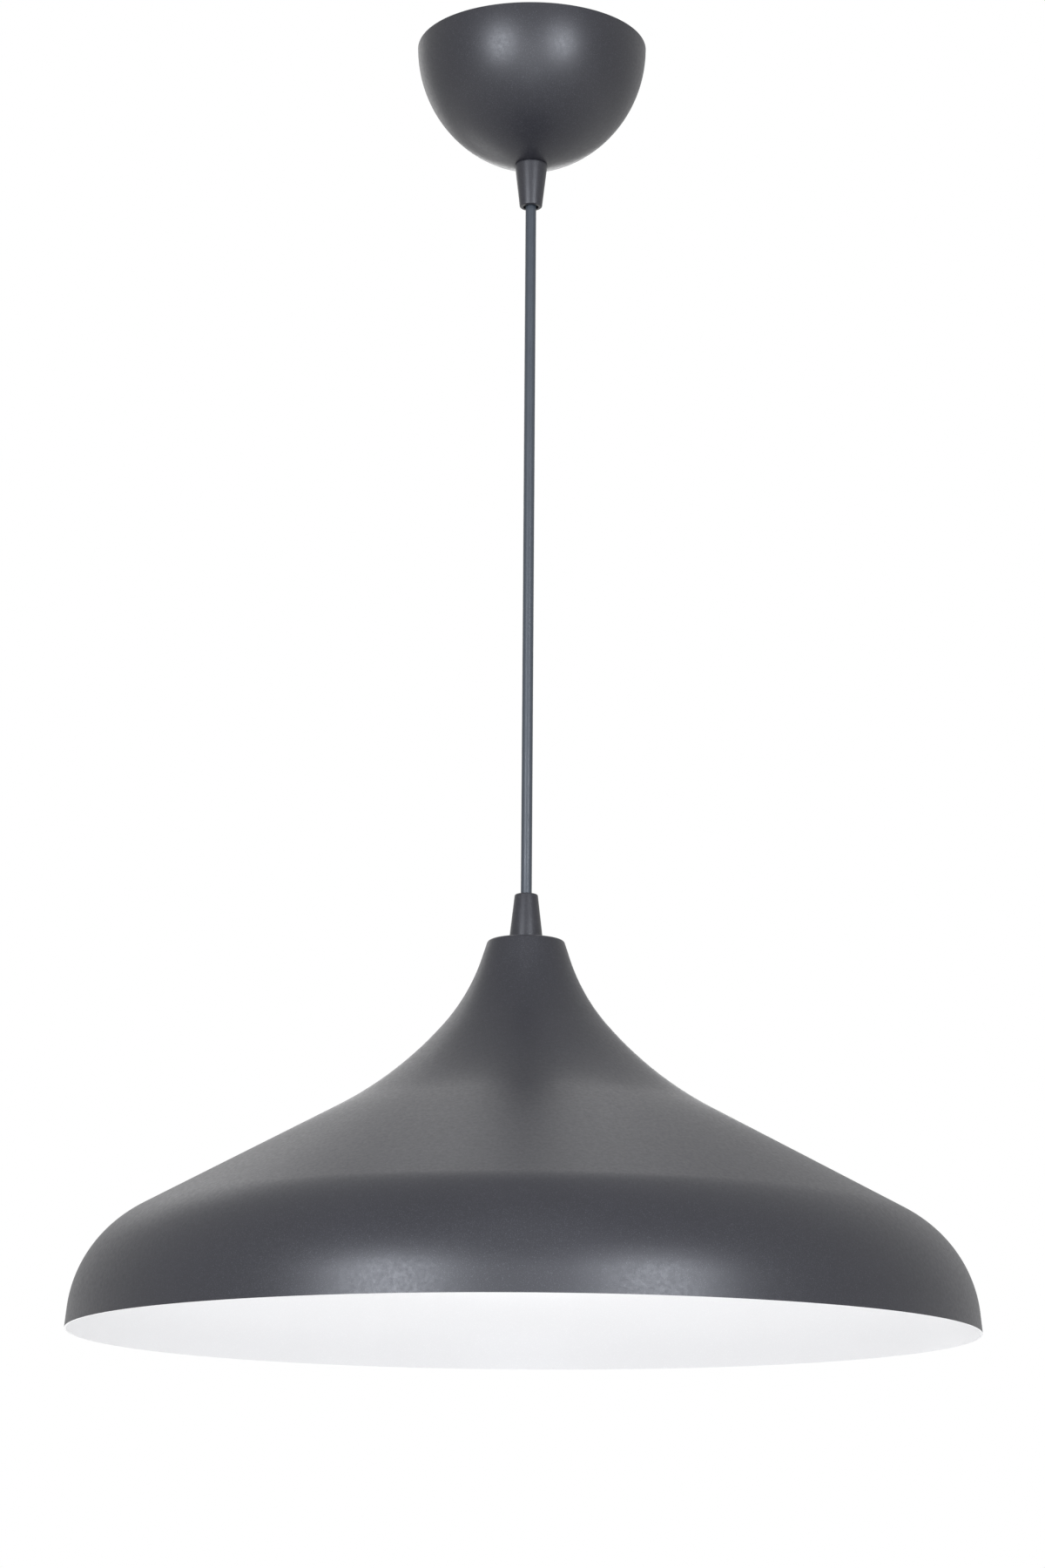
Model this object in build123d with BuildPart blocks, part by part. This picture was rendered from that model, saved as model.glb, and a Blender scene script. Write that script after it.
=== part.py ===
"""Pendant ceiling light: cup canopy, round cord with two conical grips, spun bell shade, E27 lampholder.

Millimetres, +Z up. The origin is the middle of the ceiling bracket's slots, on the ceiling plane.
The lamp hangs along -Z.
"""
from build123d import *
from math import cos, radians, sin, sqrt, tan
import os

os.makedirs("parts", exist_ok=True)

# ---------------------------------------------------------------- driving dimensions
# canopy (ceiling rose)
canopy_d = 121.5  # outside, at the rim
canopy_h = 65.0
canopy_wall = 0.9
canopy_lean = 2.0  # degrees that the rim band leans in
canopy_band = 1.7  # straight band at the rim
seat_gap = 0.5  # canopy's flat seat beyond the grip

# ceiling bracket
bracket_w = 24.0
bracket_t = 2.0
bracket_drop = 24.0  # ceiling to the underside of the lowered middle
bracket_gap = 2.5  # foot corner to the canopy wall
leg_gap = 1.0  # between a leg and the terminal block
slot_w = 4.5
slot_margin = 4.0  # foot left at each end of a slot

# M10 x 1 threaded tubes, nuts and washers
tube_d = 10.0
tube_bore = 7.8
tube_proud = 3.0  # tube above the top nut
tube_edge = 0.3  # chamfer at a tube's ends
thread_gap = 0.05  # radial gap that stands for a thread
sheet_gap = 0.2  # round a tube where it passes through sheet metal
nut_wall = 2.0  # from the thread to a flat
nut_h = 3.0
nut_crown = 1.2  # drop of the chamfer on a nut's corners
nut_crown_in = 0.2  # where the chamfer starts, inside the flats
nut_crown_out = 2.0  # where it ends, outside the flats
washer_wall = 3.0
washer_t = 0.8
washer_teeth = 12

# conical cord grips
grip_d = 17.0  # wide end
grip_tip_d = 11.7  # narrow end
grip_len = 24.0
grip_rim = 1.0  # straight band at the wide end
grip_edge = 0.6
grip_thread = 10.0  # tube length inside the grip
collet_wall = 1.3
collet_len = 6.6
collet_slit = 0.8
collet_gap = 0.1
mouth_gap = 1.2  # recess round the cord at the narrow end
mouth_depth = 2.0

# cord
cord_d = 5.6
cord_free = 370.0  # grip mouth to grip mouth
cord_gap = 0.5  # round the cord where it passes through a grip
bend_gap = 0.1  # between the ball-shaped bend and the cord's ends
core_d = 2.0
core_ring = 1.2  # cores' centres from the cord's axis
sheath_proud = 3.0  # sheath beyond a tube's end

# terminal block in the canopy
block_l = 18.0
block_w = 22.0
block_floor = 4.0
block_corner = 1.5
block_gap = 2.4  # between the nut's corners and the terminal block
pole_pitch = 13.0
pole_d = 7.2
barrel_d = 5.0
barrel_bore = 3.0
barrel_l = 14.0
barrel_z = 5.6  # barrel axis above the strap
chimney_h = 11.0
chimney_d = 5.6
terminal_screw_d = 2.6
terminal_screw_spread = 7.6
block_screw_d = 3.0
block_screw_head = 5.4
block_screw_head_h = 2.0
block_screw_spare = 1.0  # shank below the strap
terminal_screw_sunk = 0.6  # below its chimney's top
clamp_gap = 0.1  # between a core and the screw that clamps it
fit_gap = 0.05  # between a metal piece and its seat in a moulding
wire_gap = 0.45  # round a core where it enters a terminal or a crimp

# earth screw and lug on the bracket
lug_gap = 3.0  # between the nut's corners and the earth lug
earth_screw_d = 4.0
earth_head_d = 7.0
earth_head_h = 2.4
earth_screw_l = 8.0
lug_t = 0.8
lug_ring_d = 8.4
lug_barrel_d = 3.6
lug_barrel_l = 7.0
lug_neck = 1.0  # solid metal behind a barrel's bore

# shade
shade_d = 450.0  # outside, at the rim
shade_h = 197.5
shade_wall = 0.9
rim_lean = 5.8  # degrees that the rim band leans in
shoulder_h = 42.2  # where the rim band's line meets the cone's line, above the rim
shoulder_run = 32.5  # straight lengths that the shoulder's bend uses up
flare_d = 130.4  # where the cone's line meets the throat's line
flare_drop = 70.9
flare_run = 35.4
throat_d = 57.0  # where the throat's line meets the neck's line
throat_drop = 28.4
throat_run = 20.4
neck_d = 38.6
neck_edge = 1.8
rim_round = 0.3

# E27 lampholder
holder_d = 39.0
holder_wall = 2.2
cap_top_d = 22.0
cap_h = 26.0
cap_side_h = 10.0  # the cap's straight side
cap_top_bend = 3.0
cap_side_bend = 5.0
insert_wall = 2.0
insert_h = 7.2
insert_spare = 1.5  # insert below the nipple's end
tag_t = 0.8
tag_w = 4.0
tag_ring = 1.5
tag_reach = 9.2
tag_drop = 10.0
tag_barrel_l = 5.5
lock_screw_d = 3.0
lock_screw_l = 7.0
lock_hole_d = 3.8
spigot_h = 6.0
spigot_wall = 1.95
base_h = 12.0
base_edge = 0.8
base_gap = 0.1
shell_bore = 24.4  # E27 thread, minor diameter
shell_wall = 0.5
shell_h = 27.0
pan_h = 5.5  # wider top of the shell, round the centre contact
pan_step = 0.3
shell_flange = 1.8
skirt_h = 34.0
ledge_t = 2.0
ledge_gap = 0.5
lip_t = 1.5
lip_gap = 1.5
flute_count = 30
flute_r = 0.9
flute_margin = 4.0
terminal_l = 7.0
terminal_w = 6.0
terminal_h = 6.0
terminal_from_axis = 9.5
terminal_corner = 0.5
holder_screw_proud = 1.1  # screw above its terminal
strap_w = 5.0
strap_t = 0.6
pin_d = 4.0
pin_head_d = 8.0
pin_head_h = 2.0
pin_edge = 0.8
pin_travel = 1.5
pin_gap = 0.06
pin_stop = 0.5  # between the pressed pin's head and the base
contact_gap = 1.2  # between the pin's head and the shell's top plate
rivet_d = 2.4

# cores: bends between a sheath's end and a terminal
core_rise = 4.2  # first bend above the sheath's end
core_out = (3.4, 2.8)  # first bend from the axis, along the strap and across it
core_lead = 4.0  # last bend before a barrel
core_over = 3.4  # last bend above the barrel's axis
core_toe = 0.6  # last bend nearer the middle than its pole
core_depth = 5.0  # core inside a barrel
earth_rise = 3.2
earth_out = 4.6
earth_lead = 1.2
earth_over = 5.0
earth_depth = 4.0
holder_core_lead = 2.4  # bend before a terminal in the cap
holder_core_aside = 0.4
holder_core_sag = 0.6
holder_core_depth = 2.0

# ---------------------------------------------------------------- levels
plate_top = -(bracket_drop - bracket_t)
tube_top = plate_top + washer_t + nut_h + tube_proud
canopy_bottom = -canopy_h
upper_mouth = canopy_bottom - grip_len
lower_mouth = upper_mouth - cord_free
neck_top = lower_mouth - grip_len
shade_rim = neck_top - shade_h
cap_top = neck_top - shade_wall - washer_t - nut_h
cap_bottom = cap_top - cap_h
nipple_bottom = cap_top - holder_wall - tag_t - insert_h + insert_spare
base_top = cap_bottom + spigot_h
base_bottom = base_top - base_h
skirt_bottom = cap_bottom - skirt_h
upper_sheath_end = tube_top + sheath_proud
lower_sheath_end = nipple_bottom - sheath_proud

tube_r = tube_d / 2
nut_af = tube_d + 2 * nut_wall
nut_corner = nut_af / 2 / cos(radians(30))
washer_d = tube_d + 2 * washer_wall
insert_d = tube_d + 2 * insert_wall
tag_d = tube_d + 2 * tag_ring
collet_d = cord_d + 2 * (fit_gap + collet_wall)
mouth_d = cord_d + 2 * mouth_gap
cord_hole_d = cord_d + 2 * cord_gap
base_d = holder_d - 2 * (holder_wall + fit_gap + spigot_wall + base_gap)
shell_flange_d = shell_bore + 2 * (shell_wall + shell_flange)
ledge_d = shell_bore + 2 * (shell_wall + ledge_gap)
lip_d = shell_bore + 2 * (shell_wall + lip_gap)
block_from_axis = nut_corner + block_gap
earth_x = -(nut_corner + lug_gap + lug_barrel_l + lug_ring_d / 2)
cord_r = cord_d / 2
bend_r = cord_r
cord_end_gap = bend_r + bend_gap


# ---------------------------------------------------------------- shared shapes
def bend_radius(run, before, corner, after):
    """Radius of a round bend that uses up `run` of both straight lines at a corner."""
    turn = (corner - before).get_angle(after - corner)
    return run / tan(radians(turn) / 2)


def save(part, name, *colour):
    """Label one finished piece, give it a plain colour and write its STEP file."""
    part.label = name
    part.color = Color(*colour)
    export_step(part, f"parts/{name}.step")
    print(f"{name}: {part.volume:.1f} mm3, {len(part.solids())} solid(s)")


def ring_between(low, high, outer_r, inner_r):
    """Private ring on the Z axis, from height `low` to `high`."""
    outer = Cylinder(outer_r, high - low, align=(Align.CENTER, Align.CENTER, Align.MIN), mode=Mode.PRIVATE)
    inner = Cylinder(inner_r, high - low, align=(Align.CENTER, Align.CENTER, Align.MIN), mode=Mode.PRIVATE)
    return Pos(0, 0, low) * (outer - inner)


STEEL = (0.72, 0.73, 0.75)
BRASS = (0.80, 0.66, 0.35)
DARK = (0.22, 0.22, 0.24)
BLACK = (0.08, 0.08, 0.08)
NYLON = (0.90, 0.90, 0.86)

# ---------------------------------------------------------------- ceiling bracket
wall_reach = canopy_d / 2 - canopy_wall - bracket_gap
bracket_half = sqrt(wall_reach**2 - (bracket_w / 2) ** 2)
leg_x = block_from_axis + block_l + leg_gap + bracket_t  # outside of the legs
slot_x = (bracket_half + leg_x) / 2
slot_len = bracket_half - leg_x - 2 * slot_margin
pick = bracket_t / 2  # how near an edge lies to the place that picks it

with BuildPart() as ceiling_bracket:
    with BuildSketch(Plane.XZ.offset(-bracket_w / 2)):
        with BuildLine():
            Polyline(
                (bracket_half, 0), (leg_x - bracket_t, 0), (leg_x - bracket_t, plate_top),
                (-leg_x + bracket_t, plate_top), (-leg_x + bracket_t, 0), (-bracket_half, 0),
                (-bracket_half, -bracket_t), (-leg_x, -bracket_t), (-leg_x, -bracket_drop),
                (leg_x, -bracket_drop), (leg_x, -bracket_t), (bracket_half, -bracket_t), close=True,
            )
        make_face()
    extrude(amount=bracket_w)
    outside_bends = ceiling_bracket.edges().filter_by(Axis.Y).filter_by(
        lambda e: abs(abs(e.center().X) - leg_x) < pick and abs(e.center().Z + bracket_drop) < pick
        or abs(abs(e.center().X) - leg_x + bracket_t) < pick / 2 and abs(e.center().Z) < pick
    )
    fillet(outside_bends, bracket_t)
    foot_corners = ceiling_bracket.edges().filter_by(Axis.Z).filter_by(
        lambda e: abs(abs(e.center().X) - bracket_half) < pick
    )
    fillet(foot_corners, 2 * bracket_t)
    with BuildSketch(Plane.XY):
        with Locations((-slot_x, 0), (slot_x, 0)):
            SlotOverall(slot_len, slot_w)
    extrude(amount=-bracket_t, mode=Mode.SUBTRACT)
    with BuildSketch(Plane.XY.offset(plate_top)):
        Circle(tube_r + thread_gap)
        with Locations((block_from_axis + block_l / 2, 0)):
            Circle(block_screw_d / 2 + thread_gap)
        with Locations((earth_x, 0)):
            Circle(earth_screw_d / 2 + thread_gap)
    extrude(amount=-bracket_t, mode=Mode.SUBTRACT)
save(ceiling_bracket.part, "ceiling_bracket", *STEEL)

# ---------------------------------------------------------------- threaded tube, its nuts and washers
tube_bottom = canopy_bottom - grip_thread
with BuildPart() as threaded_tube:
    with BuildSketch(Plane.XY.offset(tube_bottom)):
        Circle(tube_r)
        Circle(tube_bore / 2, mode=Mode.SUBTRACT)
    extrude(amount=tube_top - tube_bottom)
    chamfer(threaded_tube.edges().filter_by(GeomType.CIRCLE), tube_edge)
save(threaded_tube.part, "threaded_tube", *STEEL)


def thin_nut(under):
    """Thin M10 hexagon nut, standing on height `under`."""
    with BuildPart() as nut:
        with BuildSketch(Plane.XY.offset(under)):
            RegularPolygon(nut_af / 2, 6, major_radius=False)
            Circle(tube_r + thread_gap, mode=Mode.SUBTRACT)
        extrude(amount=nut_h)
        with BuildSketch(Plane.XZ):
            with BuildLine():
                Polyline(
                    (nut_af / 2 - nut_crown_in, under + nut_h), (nut_af / 2 + nut_crown_out, under + nut_h),
                    (nut_af / 2 + nut_crown_out, under + nut_h - nut_crown), close=True,
                )
            make_face()
        revolve(axis=Axis.Z, mode=Mode.SUBTRACT)
    return nut.part


def toothed_washer(under):
    """Toothed lock washer, lying on height `under`."""
    with BuildPart() as washer:
        with BuildSketch(Plane.XY.offset(under)):
            Circle(washer_d / 2)
            Circle(tube_r + thread_gap, mode=Mode.SUBTRACT)
            with PolarLocations(washer_d / 2, washer_teeth):
                Circle(washer_t, mode=Mode.SUBTRACT)
        extrude(amount=washer_t)
    return washer.part


locknuts = Compound(children=[
    thin_nut(plate_top + washer_t),
    thin_nut(-bracket_drop - washer_t - nut_h),
])
save(locknuts, "tube_locknuts", *STEEL)
washers = Compound(children=[toothed_washer(plate_top), toothed_washer(-bracket_drop - washer_t)])
save(washers, "tube_toothed_washers", *STEEL)

# ---------------------------------------------------------------- canopy
canopy_r = canopy_d / 2
seat_r = grip_d / 2 + seat_gap
band_in = canopy_band * tan(radians(canopy_lean))
with BuildPart() as canopy:
    with BuildSketch(Plane.XZ):
        with BuildLine():
            with BuildLine(mode=Mode.PRIVATE) as canopy_outside:
                rim_band = Line((canopy_r, 0), (canopy_r - band_in, -canopy_band))
                TangentArc(rim_band @ 1, (seat_r, canopy_bottom), tangent=rim_band % 1)
                Line((seat_r, canopy_bottom), (tube_r + sheet_gap, canopy_bottom))
            add(canopy_outside.line)
            offset(amount=canopy_wall, side=Side.RIGHT)
        make_face()
    revolve(axis=Axis.Z)
    split(bisect_by=Plane.XY, keep=Keep.BOTTOM)
save(canopy.part, "canopy", *DARK)

# ---------------------------------------------------------------- conical cord grips and their collets
tip_r = grip_tip_d / 2
thread_r = tube_r + thread_gap
collet_seat_r = collet_d / 2 + fit_gap


def cord_grip(wide_end, side):
    """Conical grip from its wide end's height; side is -1 with the tip down and 1 with the tip up."""
    def level(along):
        return wide_end + side * along

    with BuildPart() as grip:
        with BuildSketch(Plane.XZ):
            with BuildLine():
                Polyline(
                    (thread_r, level(0)), (grip_d / 2, level(0)), (grip_d / 2, level(grip_rim)),
                    (tip_r, level(grip_len)), (mouth_d / 2, level(grip_len)),
                    (mouth_d / 2, level(grip_len - mouth_depth)),
                    (cord_hole_d / 2, level(grip_len - mouth_depth)),
                    (cord_hole_d / 2, level(grip_thread + collet_len + 2 * collet_gap)),
                    (collet_seat_r, level(grip_thread + collet_len + 2 * collet_gap)),
                    (collet_seat_r, level(grip_thread + collet_gap)),
                    (thread_r, level(grip_thread + collet_gap)), close=True,
                )
            make_face()
        revolve(axis=Axis.Z)
        outer_edges = grip.edges().filter_by(GeomType.CIRCLE).filter_by(
            lambda e: abs(e.radius - grip_d / 2) < grip_edge / 2 or abs(e.radius - tip_r) < grip_edge / 2
        )
        fillet(outer_edges, grip_edge)
    return grip.part


def collet(wide_end, side):
    """Slit nylon collet that holds the cord inside a grip with the same wide end and side."""
    near = wide_end + side * (grip_thread + collet_gap)
    low = min(near, near + side * collet_len)
    with BuildPart() as ring:
        with BuildSketch(Plane.XY.offset(low)):
            Circle(collet_d / 2)
            Circle(cord_r + fit_gap, mode=Mode.SUBTRACT)
            with Locations((collet_d / 2, 0)):
                Rectangle(collet_d, collet_slit, mode=Mode.SUBTRACT)
        extrude(amount=collet_len)
    return ring.part


save(cord_grip(canopy_bottom, -1), "upper_grip", *DARK)
save(collet(canopy_bottom, -1), "upper_collet", *NYLON)
save(cord_grip(neck_top, 1), "lower_grip", *DARK)
save(collet(neck_top, 1), "lower_collet", *NYLON)


# ---------------------------------------------------------------- cord
def cord_run(top, bottom):
    """Straight stretch of the round cord on the Z axis."""
    with BuildPart() as run:
        with BuildSketch(Plane.XY.offset(bottom)):
            Circle(cord_r)
        extrude(amount=top - bottom)
    return run.part


def cord_bend(height):
    """Ball-shaped bend of the cord where it leaves a grip: both swings turn about its middle."""
    with BuildPart() as ball:
        with Locations((0, 0, height)):
            Sphere(bend_r)
    return ball.part


cord_points = [(0, 0, upper_mouth), (0, 0, lower_mouth)]
save(cord_run(upper_sheath_end, upper_mouth + cord_end_gap), "cord_upper_end", *DARK)
save(cord_bend(upper_mouth), "cord_bend_upper", *DARK)
save(cord_run(cord_points[0][2] - cord_end_gap, cord_points[1][2] + cord_end_gap), "cord", *DARK)
save(cord_bend(lower_mouth), "cord_bend_lower", *DARK)
save(cord_run(lower_mouth - cord_end_gap, lower_sheath_end), "cord_lower_end", *DARK)


def core(points, start_way, end_way):
    """One insulated core along a smooth line through the points, leaving and arriving as given."""
    with BuildPart() as wire:
        with BuildLine():
            path = Spline(*points, tangents=(start_way, end_way))
        with BuildSketch(Plane(path @ 0, z_dir=path % 0)):
            Circle(core_d / 2)
        sweep()
    return wire.part


# ---------------------------------------------------------------- terminal block on the bracket
block_x = block_from_axis + block_l / 2
barrel_level = plate_top + barrel_z
pole_y = pole_pitch / 2
pole_places = [(block_x, -pole_y), (block_x, pole_y)]
screw_places = [
    (block_x + way * terminal_screw_spread / 2, y) for _, y in pole_places for way in (-1, 1)
]
with BuildPart() as terminal_block:
    with BuildSketch(Plane.XY.offset(plate_top)):
        with Locations((block_x, 0)):
            RectangleRounded(block_l, block_w, block_corner)
    extrude(amount=block_floor)
    with BuildSketch(Plane.YZ.offset(block_from_axis)):
        with Locations(*[(y, barrel_level) for _, y in pole_places]):
            Circle(pole_d / 2)
        with Locations(*[(y, plate_top + block_floor / 2) for _, y in pole_places]):
            Rectangle(pole_d, block_floor)
    extrude(amount=block_l)
    with BuildSketch(Plane.XY.offset(plate_top)):
        with Locations(*screw_places):
            Circle(chimney_d / 2)
    extrude(amount=chimney_h)
    with BuildSketch(Plane.YZ.offset(block_from_axis)):
        with Locations(*[(y, barrel_level) for _, y in pole_places]):
            Circle(barrel_d / 2 + fit_gap)
    extrude(amount=block_l, mode=Mode.SUBTRACT)
    with BuildSketch(Plane.XY.offset(barrel_level)):
        with Locations(*screw_places):
            Circle(terminal_screw_d / 2 + 2 * thread_gap)
    extrude(amount=chimney_h, mode=Mode.SUBTRACT)
    with BuildSketch(Plane.XY.offset(plate_top)):
        with Locations((block_x, 0)):
            Circle(block_screw_d / 2 + 2 * thread_gap)
    extrude(amount=chimney_h, mode=Mode.SUBTRACT)
save(terminal_block.part, "terminal_block", *NYLON)

barrel_start = block_from_axis + (block_l - barrel_l) / 2
with BuildPart() as terminal_barrels:
    with BuildSketch(Plane.YZ.offset(barrel_start)):
        with Locations(*[(y, barrel_level) for _, y in pole_places]):
            Circle(barrel_d / 2)
            Circle(barrel_bore / 2, mode=Mode.SUBTRACT)
    extrude(amount=barrel_l)
    with BuildSketch(Plane.XY.offset(barrel_level)):
        with Locations(*screw_places):
            Circle(terminal_screw_d / 2 + thread_gap)
    extrude(amount=chimney_h, mode=Mode.SUBTRACT)
save(terminal_barrels.part, "terminal_barrels", *BRASS)


def slotted_screw(plane, length, width, slot_depth=0.9, slot_width=0.5):
    """Headless slotted screw that starts on the plane and runs along its normal to its slot."""
    with BuildPart() as screw:
        with BuildSketch(plane):
            Circle(width / 2)
        extrude(amount=length)
        with BuildSketch(plane.offset(length)):
            Rectangle(2 * width, slot_width)
        extrude(amount=-slot_depth, mode=Mode.SUBTRACT)
    return screw.part


def pan_screw(plane, shank, width, head_d, head_h, cross_span=0.6, cross_width=0.14):
    """Pan-head screw with a cross slot: the plane lies under the head, the shank runs against its normal."""
    with BuildPart() as screw:
        with BuildSketch(plane):
            Circle(head_d / 2)
        extrude(amount=head_h)
        fillet(screw.edges().filter_by(GeomType.CIRCLE).sort_by(Axis(plane.origin, plane.z_dir))[-1], head_h / 2)
        with BuildSketch(plane):
            Circle(width / 2)
        extrude(amount=-shank)
        with BuildSketch(plane.offset(head_h)):
            Rectangle(head_d * cross_span, head_d * cross_width)
            Rectangle(head_d * cross_width, head_d * cross_span)
        extrude(amount=-head_h / 2, mode=Mode.SUBTRACT)
    return screw.part


screw_foot = barrel_level + core_d / 2 + clamp_gap
screw_top = plate_top + chimney_h - terminal_screw_sunk
block_screws = Compound(children=[
    slotted_screw(Plane((x, y, screw_foot)), screw_top - screw_foot, terminal_screw_d)
    for x, y in screw_places
])
save(block_screws, "terminal_screws", *STEEL)
save(
    pan_screw(
        Plane((block_x, 0, plate_top + block_floor)), block_floor + bracket_t + block_screw_spare, block_screw_d,
        block_screw_head, block_screw_head_h,
    ),
    "terminal_fixing_screw", *STEEL,
)

# ---------------------------------------------------------------- earth terminal on the bracket
lug_reach = lug_ring_d / 2
with BuildPart() as upper_earth_lug:
    with BuildSketch(Plane.XY.offset(plate_top)):
        with Locations((earth_x, 0)):
            Circle(lug_ring_d / 2)
        with Locations((earth_x + lug_reach, 0)):
            Rectangle(lug_reach + lug_neck, lug_barrel_d)
        with Locations((earth_x, 0)):
            Circle(earth_screw_d / 2 + thread_gap, mode=Mode.SUBTRACT)
    extrude(amount=lug_t)
    with BuildSketch(Plane.YZ.offset(earth_x + lug_reach)):
        with Locations((0, plate_top + lug_barrel_d / 2)):
            Circle(lug_barrel_d / 2)
    extrude(amount=lug_barrel_l)
    with BuildSketch(Plane.YZ.offset(earth_x + lug_reach + lug_neck)):
        with Locations((0, plate_top + lug_barrel_d / 2)):
            Circle(core_d / 2 + wire_gap)
    extrude(amount=lug_barrel_l, mode=Mode.SUBTRACT)
save(upper_earth_lug.part, "upper_earth_lug", *STEEL)
save(
    pan_screw(Plane((earth_x, 0, plate_top + lug_t)), earth_screw_l, earth_screw_d, earth_head_d, earth_head_h),
    "earth_screw", *STEEL,
)

# ---------------------------------------------------------------- cores inside the canopy
for name, side in (("upper_core_brown", 1), ("upper_core_blue", -1)):
    leave = (core_ring * cos(radians(60)), side * core_ring * sin(radians(60)))
    route = [
        (*leave, upper_sheath_end), (core_out[0], side * core_out[1], upper_sheath_end + core_rise),
        (block_from_axis - core_lead, side * (pole_y - core_toe), barrel_level + core_over),
        (block_from_axis + core_depth, side * pole_y, barrel_level),
    ]
    save(core(route, (0, 0, 1), (1, 0, 0)), name, *DARK)
lug_mouth = earth_x + lug_reach + lug_barrel_l
earth_route = [
    (-core_ring, 0, upper_sheath_end), (-earth_out, 0, upper_sheath_end + earth_rise),
    (lug_mouth + earth_lead, 0, plate_top + earth_over),
    (lug_mouth - earth_depth, 0, plate_top + lug_barrel_d / 2),
]
save(core(earth_route, (0, 0, 1), (-1, 0, 0)), "upper_core_earth", *DARK)

# ---------------------------------------------------------------- shade
rim_r = shade_d / 2
rim_corner = Vector(rim_r - shoulder_h * tan(radians(rim_lean)), shade_rim + shoulder_h)
flare_corner = Vector(flare_d / 2, neck_top - flare_drop)
throat_corner = Vector(throat_d / 2, neck_top - throat_drop)
neck_corner = Vector(neck_d / 2, neck_top)
outline = [
    Vector(rim_r, shade_rim), rim_corner, flare_corner, throat_corner, neck_corner,
    Vector(tube_r + sheet_gap, neck_top),
]
shade_bends = [
    bend_radius(run, *outline[i : i + 3])
    for i, run in enumerate((shoulder_run, flare_run, throat_run))
] + [neck_edge]
with BuildPart() as shade:
    with BuildSketch(Plane.XZ):
        with BuildLine():
            with BuildLine(mode=Mode.PRIVATE) as shade_outside:
                FilletPolyline(*outline, radius=shade_bends)
            add(shade_outside.line)
            offset(amount=shade_wall, side=Side.LEFT)
        make_face()
    revolve(axis=Axis.Z)
    split(bisect_by=Plane.XY.offset(shade_rim), keep=Keep.TOP)
    fillet(shade.edges().filter_by(GeomType.CIRCLE).group_by(Axis.Z)[0], rim_round)
save(shade.part, "shade", *DARK)
print("shade bends", [round(r, 1) for r in shade_bends])

# ---------------------------------------------------------------- neck hardware and lower nipple
save(toothed_washer(neck_top - shade_wall - washer_t), "neck_washer", *STEEL)
save(thin_nut(cap_top), "neck_locknut", *STEEL)
with BuildPart() as lower_nipple:
    with BuildSketch(Plane.XY.offset(nipple_bottom)):
        Circle(tube_r)
        Circle(tube_bore / 2, mode=Mode.SUBTRACT)
    extrude(amount=neck_top + grip_thread - nipple_bottom)
    chamfer(lower_nipple.edges().filter_by(GeomType.CIRCLE), tube_edge)
save(lower_nipple.part, "lower_nipple", *STEEL)

# ---------------------------------------------------------------- lampholder cap and what it holds
holder_r = holder_d / 2
insert_top = cap_top - holder_wall - tag_t
insert_bottom = insert_top - insert_h
lock_level = insert_top - insert_h / 2
with BuildPart() as holder_cap:
    with BuildSketch(Plane.XZ):
        with BuildLine():
            with BuildLine(mode=Mode.PRIVATE) as cap_outside:
                FilletPolyline(
                    (thread_r, cap_top), (cap_top_d / 2, cap_top), (holder_r, cap_bottom + cap_side_h),
                    (holder_r, cap_bottom), radius=[cap_top_bend, cap_side_bend],
                )
            add(cap_outside.line)
            offset(amount=holder_wall, side=Side.RIGHT)
        make_face()
    revolve(axis=Axis.Z)
    with BuildSketch(Plane((0, 0, lock_level), z_dir=(0, -1, 0))):
        Circle(lock_hole_d / 2)
    extrude(amount=holder_r, mode=Mode.SUBTRACT)
save(holder_cap.part, "holder_cap", *BLACK)

with BuildPart() as holder_insert:
    with BuildSketch(Plane.XY.offset(insert_bottom)):
        Circle(insert_d / 2)
        Circle(thread_r, mode=Mode.SUBTRACT)
    extrude(amount=insert_h)
    with BuildSketch(Plane((0, 0, lock_level), z_dir=(0, -1, 0))):
        Circle(lock_screw_d / 2 + thread_gap)
    extrude(amount=insert_d, mode=Mode.SUBTRACT)
save(holder_insert.part, "holder_insert", *BRASS)

save(
    slotted_screw(
        Plane((0, -tube_r - clamp_gap, lock_level), x_dir=(1, 0, 0), z_dir=(0, -1, 0)), lock_screw_l, lock_screw_d
    ),
    "holder_lock_screw", *STEEL,
)

tag_hook = insert_top - tag_drop
tag_barrel = tag_hook - lug_barrel_d / 2 + tag_t
with BuildPart() as lower_earth_tag:
    with BuildSketch(Plane.XY.offset(insert_top)):
        Circle(tag_d / 2)
        with Locations((0, tag_reach / 2)):
            Rectangle(tag_w, tag_reach)
        Circle(thread_r, mode=Mode.SUBTRACT)
    extrude(amount=tag_t)
    with BuildSketch(Plane.XY.offset(tag_hook)):
        with Locations((0, tag_reach - tag_t / 2)):
            Rectangle(tag_w, tag_t)
    extrude(amount=tag_drop)
    with BuildSketch(Plane((0, tag_reach, tag_barrel), z_dir=(0, -1, 0))):
        Circle(lug_barrel_d / 2)
    extrude(amount=tag_barrel_l)
    with BuildSketch(Plane((0, tag_reach - lug_neck, tag_barrel), z_dir=(0, -1, 0))):
        Circle(core_d / 2 + wire_gap)
    extrude(amount=lug_barrel_l, mode=Mode.SUBTRACT)
save(lower_earth_tag.part, "lower_earth_tag", *STEEL)

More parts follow.
